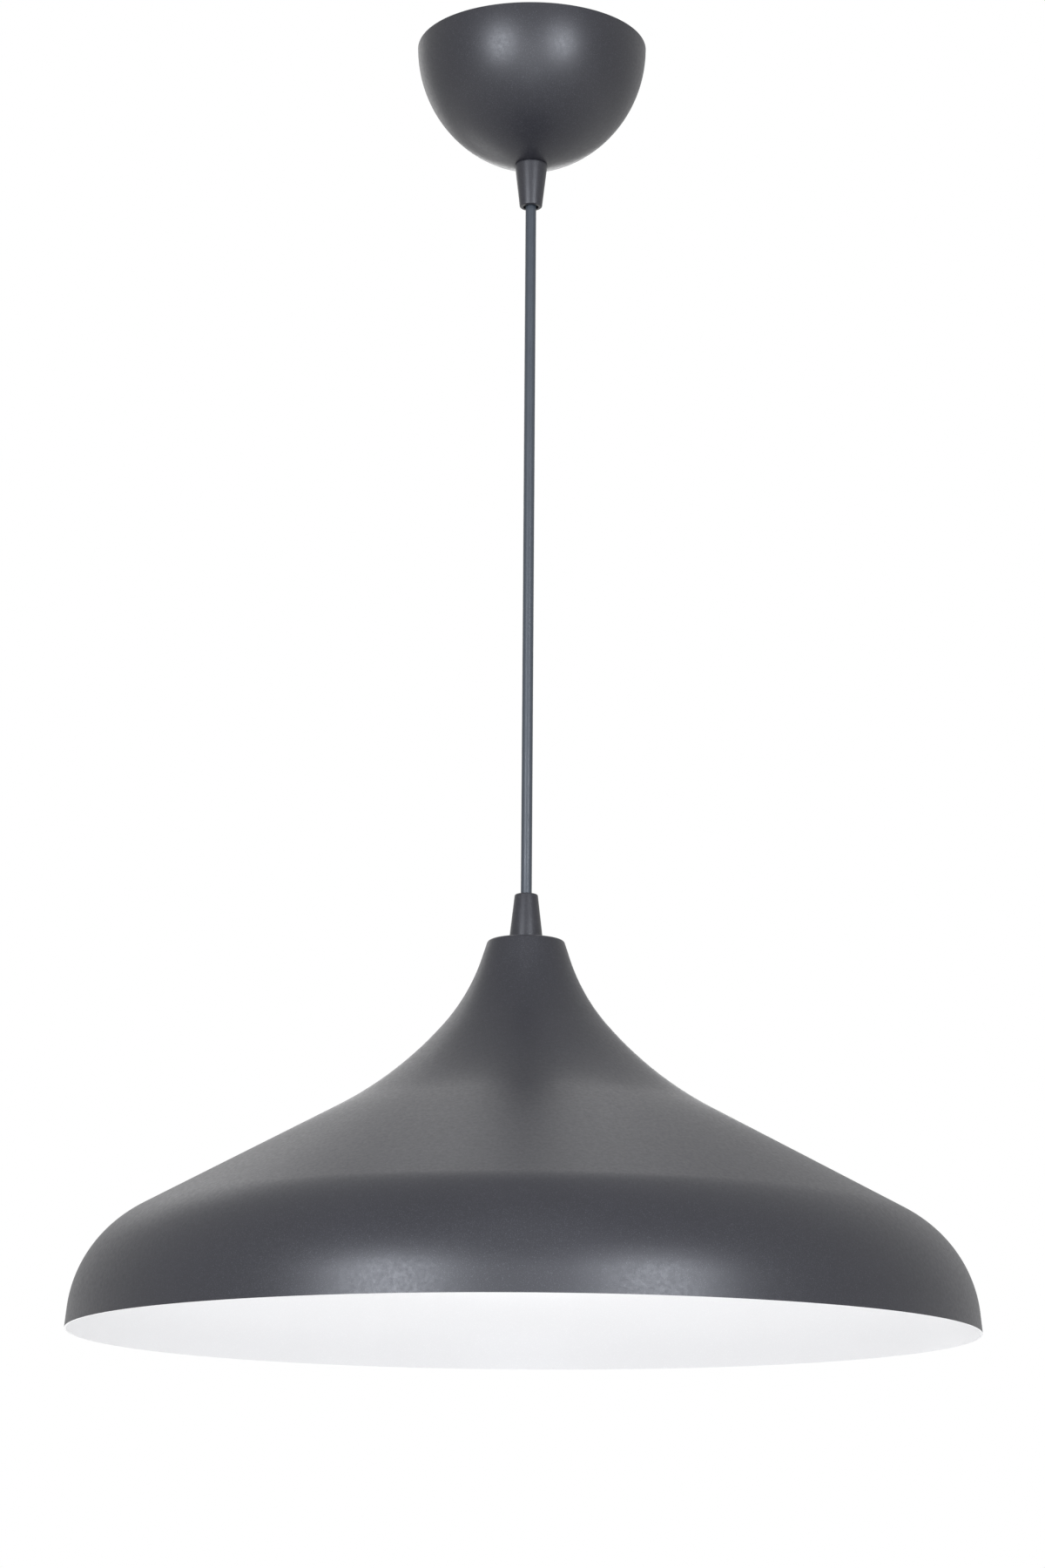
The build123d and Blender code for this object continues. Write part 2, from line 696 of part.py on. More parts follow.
# ---------------------------------------------------------------- lampholder base and its metal parts
pin_hole_r = pin_d / 2 + pin_gap
terminal_x = terminal_from_axis
with BuildPart() as holder_base:
    with BuildSketch(Plane.XY.offset(base_bottom)):
        Circle(base_d / 2)
    extrude(amount=base_h)
    fillet(holder_base.edges().filter_by(GeomType.CIRCLE).sort_by(Axis.Z)[-1], base_edge)
    with BuildSketch(Plane.XY.offset(base_top)):
        Circle(pin_hole_r)
        with Locations((-terminal_x, 0)):
            Circle(rivet_d / 2 + fit_gap)
    extrude(amount=-base_h, mode=Mode.SUBTRACT)
save(holder_base.part, "holder_base", *NYLON)

with BuildPart() as live_strap:
    with BuildSketch(Plane.XY.offset(base_top)):
        with Locations((terminal_x / 2, 0)):
            SlotOverall(terminal_x + strap_w, strap_w)
        Circle(pin_hole_r, mode=Mode.SUBTRACT)
    extrude(amount=strap_t)
save(live_strap.part, "live_strap", *BRASS)


def screw_terminal(x, foot):
    """Brass block with a wire hole facing the axis and a screw hole from above."""
    with BuildPart() as terminal:
        with BuildSketch(Plane.XY.offset(foot)):
            with Locations((x, 0)):
                Rectangle(terminal_l, terminal_w)
        extrude(amount=terminal_h)
        fillet(terminal.edges().filter_by(Axis.Z), terminal_corner)
        with BuildSketch(Plane.YZ.offset(x - terminal_l / 2)):
            with Locations((0, foot + terminal_h / 2)):
                Circle(core_d / 2 + wire_gap)
        extrude(amount=terminal_l, mode=Mode.SUBTRACT)
        with BuildSketch(Plane.XY.offset(foot + terminal_h)):
            with Locations((x, 0)):
                Circle(terminal_screw_d / 2 + thread_gap)
        extrude(amount=-terminal_h / 2, mode=Mode.SUBTRACT)
    return terminal.part


terminal_feet = {terminal_x: base_top + strap_t, -terminal_x: base_top}
terminals = Compound(children=[screw_terminal(x, foot) for x, foot in terminal_feet.items()])
save(terminals, "holder_terminals", *BRASS)
terminal_screws = Compound(children=[
    slotted_screw(
        Plane((x, 0, foot + terminal_h / 2 + core_d / 2 + clamp_gap)),
        terminal_h / 2 - core_d / 2 - clamp_gap + holder_screw_proud, terminal_screw_d,
    )
    for x, foot in terminal_feet.items()
])
save(terminal_screws, "holder_terminal_screws", *STEEL)

with BuildPart() as side_contact:
    with BuildSketch(Plane.XY.offset(base_bottom)):
        with Locations((-terminal_x, 0)):
            Circle(rivet_d / 2)
    extrude(amount=base_h)
save(side_contact.part, "side_contact", *BRASS)

# ---------------------------------------------------------------- screw shell, centre contact and skirt
shell_r = shell_bore / 2
pan_r = shell_r + pan_step
pan_bottom = base_bottom - pan_h
shell_hole_r = pin_head_d / 2 + contact_gap
with BuildPart() as screw_shell:
    with BuildSketch(Plane.XZ):
        with BuildLine():
            Polyline(
                (shell_hole_r, base_bottom), (shell_flange_d / 2, base_bottom),
                (shell_flange_d / 2, base_bottom - shell_wall), (pan_r + shell_wall, base_bottom - shell_wall),
                (pan_r + shell_wall, pan_bottom), (shell_r + shell_wall, pan_bottom),
                (shell_r + shell_wall, base_bottom - shell_h), (shell_r, base_bottom - shell_h),
                (shell_r, pan_bottom + shell_wall), (pan_r, pan_bottom + shell_wall),
                (pan_r, base_bottom - shell_wall), (shell_hole_r, base_bottom - shell_wall), close=True,
            )
        make_face()
    revolve(axis=Axis.Z)
save(screw_shell.part, "screw_shell", *BRASS)

pin_bottom = base_bottom - pin_travel - pin_stop - pin_head_h
with BuildPart() as centre_contact:
    with BuildSketch(Plane.XY.offset(pin_bottom)):
        Circle(pin_head_d / 2)
    extrude(amount=pin_head_h)
    fillet(centre_contact.edges().sort_by(Axis.Z)[0], pin_edge)
    with BuildSketch(Plane.XY.offset(pin_bottom)):
        Circle(pin_d / 2)
    extrude(amount=base_top + strap_t - pin_bottom)
save(centre_contact.part, "centre_contact", *BRASS)

cap_bore_r = holder_r - holder_wall
ledge_level = base_bottom - shell_wall
with BuildPart() as holder_skirt:
    with BuildSketch(Plane.XZ):
        with BuildLine():
            Polyline(
                (base_d / 2 + base_gap, cap_bottom + spigot_h), (cap_bore_r - fit_gap, cap_bottom + spigot_h),
                (cap_bore_r - fit_gap, cap_bottom), (holder_r, cap_bottom), (holder_r, skirt_bottom),
                (lip_d / 2, skirt_bottom), (lip_d / 2, skirt_bottom + lip_t), (cap_bore_r, skirt_bottom + lip_t),
                (cap_bore_r, ledge_level - ledge_t), (ledge_d / 2, ledge_level - ledge_t),
                (ledge_d / 2, ledge_level), (base_d / 2 + base_gap, ledge_level), close=True,
            )
        make_face()
    revolve(axis=Axis.Z)
    rim_edges = holder_skirt.edges().filter_by(GeomType.CIRCLE).group_by(Axis.Z)[0]
    fillet(rim_edges, lip_t / 3)
    with BuildSketch(Plane.XY.offset(skirt_bottom + flute_margin)):
        with PolarLocations(holder_r + flute_r / 2, flute_count):
            Circle(flute_r)
    extrude(amount=skirt_h - 2 * flute_margin, mode=Mode.SUBTRACT)
save(holder_skirt.part, "holder_skirt", *BLACK)

# ---------------------------------------------------------------- cores inside the lampholder cap
for name, x, ring_angle in (("lower_core_brown", terminal_x, -30), ("lower_core_blue", -terminal_x, 210)):
    leave = (core_ring * cos(radians(ring_angle)), core_ring * sin(radians(ring_angle)))
    way = 1 if x > 0 else -1
    wire_level = terminal_feet[x] + terminal_h / 2
    inner_face = abs(x) - terminal_l / 2
    lower_route = [
        (*leave, lower_sheath_end),
        (
            way * (inner_face - holder_core_lead), -holder_core_aside,
            (lower_sheath_end + wire_level) / 2 - holder_core_sag,
        ),
        (way * (inner_face + holder_core_depth), 0, wire_level),
    ]
    save(core(lower_route, (0, 0, -1), (way, 0, 0)), name, *DARK)
tag_mouth = tag_reach - tag_barrel_l
earth_down = [(0, core_ring, lower_sheath_end), (0, tag_mouth + holder_core_depth, tag_barrel)]
save(core(earth_down, (0, 0, -1), (0, 1, 0)), "lower_core_earth", *DARK)
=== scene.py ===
"""Looks of a pendant ceiling light: cup canopy, straight cord, conical grips and a spun bell shade.

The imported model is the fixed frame. The cord and the turned and threaded parts that show are made
again here as finer meshes, and every other node keeps its shape and gets its finish. +Z is up, as in
the frame. Sizes of pieces and finishes are in millimetres; the cord's route and the studio are in metres.
"""
from __future__ import annotations

import logging
import math
from dataclasses import dataclass, field
from enum import Enum

import bpy
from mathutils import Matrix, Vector

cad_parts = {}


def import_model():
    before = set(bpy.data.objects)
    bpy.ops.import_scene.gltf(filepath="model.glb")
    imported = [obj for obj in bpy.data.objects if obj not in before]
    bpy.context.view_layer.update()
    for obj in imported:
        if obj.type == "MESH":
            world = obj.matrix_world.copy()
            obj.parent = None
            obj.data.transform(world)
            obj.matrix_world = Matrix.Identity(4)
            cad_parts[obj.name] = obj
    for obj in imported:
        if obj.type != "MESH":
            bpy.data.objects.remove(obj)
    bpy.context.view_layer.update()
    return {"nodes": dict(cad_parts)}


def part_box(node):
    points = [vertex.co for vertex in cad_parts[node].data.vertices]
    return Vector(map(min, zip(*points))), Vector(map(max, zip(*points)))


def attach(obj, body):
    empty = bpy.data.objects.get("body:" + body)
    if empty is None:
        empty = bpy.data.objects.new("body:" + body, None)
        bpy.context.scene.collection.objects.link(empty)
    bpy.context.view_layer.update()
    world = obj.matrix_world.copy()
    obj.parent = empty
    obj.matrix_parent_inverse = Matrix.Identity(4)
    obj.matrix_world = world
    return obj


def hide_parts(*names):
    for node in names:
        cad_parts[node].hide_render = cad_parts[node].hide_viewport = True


MM = 0.001
MIDDLE = {"From Min": 0.3, "From Max": 0.7}  # where most values of a noise lie
LOG = logging.getLogger("pendant")
Outline = list[tuple[float, float]]


# ------------------------------------------------------------------------------------------ tools
def linear(code: str) -> tuple[float, float, float, float]:
    """Turn an sRGB hex colour into the linear RGBA that shaders use.

    Args:
        code: Six hex digits, such as "3a3b40".

    Returns:
        The linear colour with alpha 1.
    """
    parts = [int(code[i : i + 2], 16) / 255 for i in (0, 2, 4)]
    red, green, blue = (p / 12.92 if p <= 0.04045 else ((p + 0.055) / 1.055) ** 2.4 for p in parts)
    return red, green, blue, 1.0


def add_node(tree: bpy.types.NodeTree, kind: str, settings: dict | None = None, links: dict | None = None):
    """Add one node with its settings and links.

    Args:
        tree: The material's or world's node tree.
        kind: The node's type, without the leading "ShaderNode".
        settings: Values by input name or number, or by attribute name where there is no such input.
        links: Output sockets of other nodes, by the name or number of the input that they feed.

    Returns:
        The new node.
    """
    node = tree.nodes.new("ShaderNode" + kind)
    settings = dict(settings or {})
    for name in [n for n in settings if isinstance(n, str) and n not in node.inputs]:
        setattr(node, name, settings.pop(name))
    for name, value in settings.items():
        node.inputs[name].default_value = value
    for name, socket in (links or {}).items():
        tree.links.new(socket, node.inputs[name])
    return node


def deselect() -> None:
    """Leave nothing selected, so that an operator acts on the new piece alone."""
    bpy.ops.object.select_all(action="DESELECT")


def take(piece: bpy.types.Object) -> None:
    """Select one piece alone and make it the active one."""
    deselect()
    piece.select_set(True)
    bpy.context.view_layer.objects.active = piece


def close_up(piece: bpy.types.Object, gap: float = 0.002) -> None:
    """Merge points that lie within `gap` millimetres and turn the faces outwards."""
    take(piece)
    bpy.ops.object.mode_set(mode="EDIT")
    bpy.ops.mesh.select_all(action="SELECT")
    bpy.ops.mesh.remove_doubles(threshold=gap * MM)
    bpy.ops.mesh.normals_make_consistent(inside=False)
    bpy.ops.object.mode_set(mode="OBJECT")


def apply_modifier(piece: bpy.types.Object, kind: str, **settings: object) -> None:
    """Add one modifier with its settings and apply it."""
    take(piece)
    modifier = piece.modifiers.new(kind.title(), kind)
    for name, value in settings.items():
        setattr(modifier, name, value)
    bpy.ops.object.modifier_apply(modifier=modifier.name)


def smooth(piece: bpy.types.Object, degrees: float) -> None:
    """Shade a piece smooth, apart from edges sharper than the angle."""
    take(piece)
    bpy.ops.object.shade_smooth_by_angle(angle=math.radians(degrees))


def dress(piece: bpy.types.Object, *materials: bpy.types.Material) -> None:
    """Give a piece its materials, in slot order, in place of any it has."""
    piece.data.materials.clear()
    for material in materials:
        piece.data.materials.append(material)


def rounded(corners: Outline, radii: list[float], step: float) -> Outline:
    """Round the inner corners of an outline with true arcs.

    Args:
        corners: Corner points as (radius, height).
        radii: One bend radius for each inner corner; 0 leaves it sharp.
        step: Degrees turned by each short side of an arc.

    Returns:
        The outline with its arcs.
    """
    points = [Vector(corners[0])]
    for before, corner, after, radius in zip(corners, corners[1:], corners[2:], radii):
        middle = Vector(corner)
        inward = (middle - Vector(before)).normalized()
        onward = (Vector(after) - middle).normalized()
        turn = inward.angle(onward)
        if not radius:
            points.append(middle)
            continue
        centre = middle + (onward - inward).normalized() * (radius / math.cos(turn / 2))
        arm = middle - inward * (radius * math.tan(turn / 2)) - centre
        side = 1 if inward.cross(onward) > 0 else -1
        count = max(2, round(math.degrees(turn) / step))
        for k in range(count + 1):
            angle = side * turn * k / count
            points.append(centre + Vector((
                arm.x * math.cos(angle) - arm.y * math.sin(angle),
                arm.x * math.sin(angle) + arm.y * math.cos(angle),
            )))
    points.append(Vector(corners[-1]))
    return [(point.x, point.y) for point in points]


def turned(name: str, outline: Outline, steps: int) -> bpy.types.Object:
    """Turn an outline about the Z axis, by extruding and resizing one ring.

    Args:
        name: The piece's name.
        outline: (radius, height) of each ring, in millimetres.
        steps: Points round each ring.

    Returns:
        The turned mesh, with its object at the origin.
    """
    deselect()
    radius, height = outline[0]
    bpy.ops.mesh.primitive_circle_add(vertices=steps, radius=radius * MM, location=(0, 0, height * MM))
    piece = bpy.context.object
    piece.name = name
    bpy.ops.object.mode_set(mode="EDIT")
    bpy.ops.mesh.select_all(action="SELECT")
    for (radius, height), (next_radius, next_height) in zip(outline, outline[1:]):
        rise = (0, 0, (next_height - height) * MM)
        bpy.ops.mesh.extrude_region_move(TRANSFORM_OT_translate={"value": rise})
        share = next_radius / radius
        bpy.ops.transform.resize(value=(share, share, 1), center_override=(0, 0, next_height * MM))
    bpy.ops.object.mode_set(mode="OBJECT")
    bpy.ops.object.transform_apply(location=True, rotation=True, scale=True)
    close_up(piece)
    return piece


# --------------------------------------------------------------------------------------- finishes
@dataclass(frozen=True)
class PowderCoat:
    """Polyester powder, sprayed dry and baked: matte, finely pebbled, with dull flecks in it."""

    name: str
    colour: str
    fleck: str
    roughness: float = 0.39
    pebble: float = 0.5  # millimetres across; the film's real grain is about 0.3, drawn coarser to show
    pebble_depth: float = 0.006
    mottle: float = 1.8  # millimetres; the flow of the molten powder, just visible in a highlight
    mottle_depth: float = 0.010
    fleck_share: float = 0.5
    unevenness: float = 0.06  # share by which the tone drifts over the piece
    spinning: float = 0.0  # millimetres that the spinning roller's rings stand up under the coat
    ring: float = 7.0  # millimetres between rings
    drift: float = 45.0  # millimetres across one slow drift of the tone
    fleck_size: float = 0.7  # a fleck's width, as a share of a pebble's
    fleck_from: float = 0.62  # level of the noise at which a fleck begins
    fleck_to: float = 0.78  # level at which it is full
    gloss_drift: float = 0.04  # how far the roughness drifts either way

    def make(self) -> bpy.types.Material:
        """Pebbles and mottle break up the edge of each highlight; flecks give the dry sparkle."""
        material = bpy.data.materials.new(self.name)
        material.use_nodes = True
        tree = material.node_tree
        shader = tree.nodes["Principled BSDF"]
        place = add_node(tree, "TexCoord").outputs["Object"]
        at = {"Vector": place}
        pebbles = add_node(tree, "TexNoise", {"Scale": 1 / (self.pebble * MM), "Detail": 1.0}, at)
        mottle = add_node(tree, "TexNoise", {"Scale": 1 / (self.mottle * MM), "Detail": 2.0}, at)
        drift = add_node(tree, "TexNoise", {"Scale": 1 / (self.drift * MM), "Detail": 2.0}, at)
        width = self.fleck_size * self.pebble
        specks = add_node(tree, "TexNoise", {"Scale": 1 / (width * MM), "Detail": 0.0}, at)
        tone = add_node(
            tree, "MapRange", {**MIDDLE, "To Min": 1 - self.unevenness, "To Max": 1 + self.unevenness},
            {"Value": drift.outputs["Fac"]},
        )
        base = add_node(tree, "HueSaturation", {"Color": linear(self.colour)}, {"Value": tone.outputs["Result"]})
        share = add_node(
            tree, "MapRange",
            {"From Min": self.fleck_from, "From Max": self.fleck_to, "To Min": 0.0, "To Max": self.fleck_share},
            {"Value": specks.outputs["Fac"]},
        )
        paint = add_node(
            tree, "Mix", {"data_type": "RGBA", 7: linear(self.fleck)},
            {0: share.outputs["Result"], 6: base.outputs["Color"]},
        )
        tree.links.new(paint.outputs[2], shader.inputs["Base Color"])
        smoothest, roughest = self.roughness - self.gloss_drift, self.roughness + self.gloss_drift
        gloss = add_node(
            tree, "MapRange", {**MIDDLE, "To Min": smoothest, "To Max": roughest},
            {"Value": mottle.outputs["Fac"]},
        )
        tree.links.new(gloss.outputs["Result"], shader.inputs["Roughness"])
        fine = add_node(
            tree, "Bump", {"Strength": 1.0, "Distance": self.pebble_depth * MM},
            {"Height": pebbles.outputs["Fac"]},
        )
        coarse = add_node(
            tree, "Bump", {"Strength": 1.0, "Distance": self.mottle_depth * MM},
            {"Height": mottle.outputs["Fac"], "Normal": fine.outputs["Normal"]},
        )
        tree.links.new(coarse.outputs["Normal"], shader.inputs["Normal"])
        if self.spinning:
            self.add_rings(tree, place, coarse)
        return material

    def add_rings(self, tree: bpy.types.NodeTree, place: bpy.types.NodeSocket, under: bpy.types.Node) -> None:
        """Add uneven rings round the Z axis, as noise over radius and height alone.

        Args:
            tree: The coat's node tree.
            place: The socket that gives places on the piece.
            under: The bump that lies under the rings.
        """
        parts = add_node(tree, "SeparateXYZ", links={0: place})
        flat = add_node(tree, "CombineXYZ", links={"X": parts.outputs["X"], "Y": parts.outputs["Y"]})
        radius = add_node(tree, "VectorMath", {"operation": "LENGTH"}, {0: flat.outputs["Vector"]})
        profile = add_node(tree, "CombineXYZ", links={"X": radius.outputs["Value"], "Z": parts.outputs["Z"]})
        rings = add_node(
            tree, "TexNoise", {"Scale": 1 / (self.ring * MM), "Detail": 3.0},
            {"Vector": profile.outputs["Vector"]},
        )
        raised = add_node(
            tree, "Bump", {"Strength": 1.0, "Distance": self.spinning * MM},
            {"Height": rings.outputs["Fac"], "Normal": under.outputs["Normal"]},
        )
        tree.links.new(raised.outputs["Normal"], tree.nodes["Principled BSDF"].inputs["Normal"])


@dataclass(frozen=True)
class Moulded:
    """Moulded or extruded plastic or glaze: an even colour with the faint orange peel of its making."""

    name: str
    colour: str
    roughness: float
    peel: float = 2.5  # millimetres across one dimple
    depth: float = 0.01  # millimetres
    mottle: float = 0.06  # share of light and dark in the colour
    stripe: str = ""  # second colour, in stripes across the Y axis
    stripe_width: float = 1.0  # millimetres
    stripe_blur: float = 0.03  # half the width of a stripe's soft edge, as a level of the wave
    scuff: float = 9.0  # millimetres across one scuffed patch
    buffed: float = 0.05  # how much smoother the gloss gets than usual
    scuffed: float = 0.07  # how much rougher it gets

    def make(self) -> bpy.types.Material:
        """Orange peel keeps the highlight soft; scuffs in the gloss keep it from looking new."""
        material = bpy.data.materials.new(self.name)
        material.use_nodes = True
        tree = material.node_tree
        shader = tree.nodes["Principled BSDF"]
        place = add_node(tree, "TexCoord").outputs["Object"]
        peel = add_node(tree, "TexNoise", {"Scale": 1 / (self.peel * MM), "Detail": 3.0}, {"Vector": place})
        scuffs = add_node(tree, "TexNoise", {"Scale": 1 / (self.scuff * MM), "Detail": 4.0}, {"Vector": place})
        tone = add_node(
            tree, "MapRange", {**MIDDLE, "To Min": 1 - self.mottle, "To Max": 1 + self.mottle},
            {"Value": peel.outputs["Fac"]},
        )
        colour = add_node(
            tree, "HueSaturation", {"Color": linear(self.colour)}, {"Value": tone.outputs["Result"]}
        ).outputs["Color"]
        if self.stripe:
            # a wave's band is 2 pi / 20 of its scale, and one pair of stripes takes one band
            bands = add_node(
                tree, "TexWave", {"bands_direction": "Y", "Scale": math.pi / 20 / (self.stripe_width * MM)},
                {"Vector": place},
            )
            share = add_node(
                tree, "MapRange", {"From Min": 0.5 - self.stripe_blur, "From Max": 0.5 + self.stripe_blur},
                {"Value": bands.outputs["Fac"]},
            )
            colour = add_node(
                tree, "Mix", {"data_type": "RGBA", 7: linear(self.stripe)},
                {0: share.outputs["Result"], 6: colour},
            ).outputs[2]
        tree.links.new(colour, shader.inputs["Base Color"])
        smoothest, roughest = self.roughness - self.buffed, self.roughness + self.scuffed
        gloss = add_node(
            tree, "MapRange", {**MIDDLE, "To Min": smoothest, "To Max": roughest},
            {"Value": scuffs.outputs["Fac"]},
        )
        tree.links.new(gloss.outputs["Result"], shader.inputs["Roughness"])
        bump = add_node(
            tree, "Bump", {"Strength": 1.0, "Distance": self.depth * MM}, {"Height": peel.outputs["Fac"]}
        )
        tree.links.new(bump.outputs["Normal"], shader.inputs["Normal"])
        return material


@dataclass(frozen=True)
class Metal:
    """Bare or plated metal, pressed or turned: fine drawn lines in its gloss and a faint uneven tint."""

    name: str
    colour: str
    tarnish: str
    roughness: float
    line: float = 0.3  # millimetres between drawn lines
    cloud: float = 5.0  # millimetres across one cloud of tarnish
    cloud_from: float = 0.5  # level of the noise at which a cloud begins
    cloud_to: float = 0.75  # level at which it is full
    cloud_share: float = 0.5  # share of the tarnish's colour in a full cloud
    stretch: float = 0.12  # a drawn line's width over its length, which runs along Y
    line_depth: float = 0.002  # millimetres
    smoothest: float = 0.75  # least roughness in the lines, as a share of the metal's
    roughest: float = 1.3  # most roughness in them

    def make(self) -> bpy.types.Material:
        """Drawn lines stretch the highlight; tarnish gathers in slow clouds."""
        material = bpy.data.materials.new(self.name)
        material.use_nodes = True
        tree = material.node_tree
        shader = tree.nodes["Principled BSDF"]
        shader.inputs["Metallic"].default_value = 1.0
        place = add_node(tree, "TexCoord").outputs["Object"]
        stretch = add_node(tree, "Mapping", {"Scale": (1.0, self.stretch, 1.0)}, {"Vector": place})
        lines = add_node(
            tree, "TexNoise", {"Scale": 1 / (self.line * MM), "Detail": 2.0},
            {"Vector": stretch.outputs["Vector"]},
        )
        clouds = add_node(tree, "TexNoise", {"Scale": 1 / (self.cloud * MM), "Detail": 4.0}, {"Vector": place})
        smoothest, roughest = self.smoothest * self.roughness, self.roughest * self.roughness
        gloss = add_node(
            tree, "MapRange", {**MIDDLE, "To Min": smoothest, "To Max": roughest},
            {"Value": lines.outputs["Fac"]},
        )
        tree.links.new(gloss.outputs["Result"], shader.inputs["Roughness"])
        share = add_node(
            tree, "MapRange",
            {"From Min": self.cloud_from, "From Max": self.cloud_to, "To Min": 0.0, "To Max": self.cloud_share},
            {"Value": clouds.outputs["Fac"]},
        )
        tint = add_node(
            tree, "Mix", {"data_type": "RGBA", 6: linear(self.colour), 7: linear(self.tarnish)},
            {0: share.outputs["Result"]},
        )
        tree.links.new(tint.outputs[2], shader.inputs["Base Color"])
        bump = add_node(
            tree, "Bump", {"Strength": 1.0, "Distance": self.line_depth * MM}, {"Height": lines.outputs["Fac"]}
        )
        tree.links.new(bump.outputs["Normal"], shader.inputs["Normal"])
        return material


class Finish(Enum):
    """The lamp's finishes, by what the real part is made of."""

    # spun bell sprayed anthracite outside: broad soft bands on the cone, faintly ringed by the spinning
    BELL = PowderCoat("anthracite_bell_coat", "1f1f24", "48484e", spinning=0.02)
    # the same powder on the pressed canopy and the grips, without the rings
    COAT = PowderCoat("anthracite_powder_coat", "1f1f24", "48484e")
    # the bell sprayed white inside to throw the light down: smoother, glowing softly from the rim
    LINING = PowderCoat(
        "white_powder_coat", "efeff0", "ffffff", roughness=0.36, pebble_depth=0.003, mottle_depth=0.005,
        unevenness=0.006,
    )
    # extruded PVC sheath: satin, blue grey, with one long highlight down its front
    SHEATH = Moulded("slate_pvc_sheath", "2f353c", 0.40, peel=1.2, depth=0.006, mottle=0.05)
    # moulded polyamide of the collets and the terminal block: waxy and off-white
    NYLON = Moulded("natural_nylon", "d9d7cb", 0.45)
    # moulded phenolic of the lampholder: near black with a dull shine
    PHENOLIC = Moulded("black_phenolic", "151516", 0.34)
    # glazed steatite of the lampholder's base: cream, wet-looking
    STEATITE = Moulded("glazed_steatite", "e6e2d8", 0.16, peel=3.0, depth=0.006)
    # the cores' PVC insulation: live brown, neutral blue, earth in two colours
    BROWN_CORE = Moulded("brown_core", "5b3119", 0.42)
    BLUE_CORE = Moulded("blue_core", "2565b4", 0.42)
    EARTH_CORE = Moulded("green_yellow_core", "d8cf2b", 0.42, stripe="2f8a3a")
    # bright zinc plate on pressed and turned steel: cool grey, lightly drawn
    ZINC = Metal("zinc_plated_steel", "b7babf", "8f9399", 0.34)
    # pressed and turned brass of the live parts: warm, with browner clouds
    BRASS = Metal("plain_brass", "cdaa60", "a07f3c", 0.28)


@dataclass
class Wardrobe:
    """Makes each finish once and hands it out."""

    made: dict[Finish, bpy.types.Material] = field(default_factory=dict)

    def get(self, finish: Finish) -> bpy.types.Material:
        """Return the finish's material, made at its first use."""
        if finish not in self.made:
            self.made[finish] = finish.value.make()
        return self.made[finish]


# ---------------------------------------------------------------------------------- remade pieces
@dataclass
class Remade:
    """A piece that stands for a CAD node: it takes the node's place, body and finish."""

    node: str
    body: str
    finish: Finish

    def build(self) -> bpy.types.Object:
        """Make the piece's mesh."""
        raise NotImplementedError

    def dress(self, piece: bpy.types.Object, wardrobe: Wardrobe) -> None:
        """Give the piece its finish."""
        dress(piece, wardrobe.get(self.finish))

    def fit(self, piece: bpy.types.Object) -> None:
        """Let the piece ride on its body in place of its node."""
        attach(piece, self.body)
        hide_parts(self.node)

    def make(self, wardrobe: Wardrobe) -> bpy.types.Object:
        """Build, dress and fit the piece, and report it."""
        piece = self.build()
        self.dress(piece, wardrobe)
        self.fit(piece)
        LOG.info("%s rides on %s for %s", piece.name, self.body, self.node)
        return piece

    def levels(self) -> tuple[float, float]:
        """Lowest and highest level of the node, in millimetres."""
        low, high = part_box(self.node)
        return low[2] / MM, high[2] / MM


@dataclass
class Canopy(Remade):
    """Cup-shaped canopy: a short band that leans in at the rim, then one arc down to a flat seat."""

    node: str = "canopy"
    body: str = "ceiling"
    finish: Finish = Finish.COAT
    rim: float = 60.75  # radius
    wall: float = 0.9
    lean: float = 2.0  # degrees
    band: float = 1.7
    seat: float = 9.0  # radius of the flat seat of the grip
    hole: float = 5.2
    sides: int = 40  # short sides of the arc
    steps: int = 192
    crease: float = 40.0  # degrees; a sharper edge stays sharp

    def outline(self) -> Outline:
        """The outside from the rim down to the hole, as (radius, height)."""
        foot, top = self.levels()
        way = Vector((-math.sin(math.radians(self.lean)), -math.cos(math.radians(self.lean))))
        start = Vector((self.rim, top)) + way * (self.band / -way.y)
        chord = Vector((self.seat, foot)) - start
        inward = Vector((way.y, -way.x))
        radius = chord.length_squared / (2 * chord.dot(inward))
        centre = start + inward * radius
        first = math.atan2(start.y - centre.y, start.x - centre.x)
        last = math.atan2(foot - centre.y, self.seat - centre.x)
        turns = [first + (last - first) * k / self.sides for k in range(self.sides + 1)]
        bowl = [(centre.x + radius * math.cos(turn), centre.y + radius * math.sin(turn)) for turn in turns]
        return [(self.rim, top), *bowl, (self.hole, foot)]

    def build(self) -> bpy.types.Object:
        """Turn the bowl and give it its sheet's thickness."""
        bowl = turned("canopy_bowl", self.outline(), self.steps)
        apply_modifier(bowl, "SOLIDIFY", thickness=self.wall * MM, offset=-1.0, use_even_offset=True)
        smooth(bowl, self.crease)
        return bowl


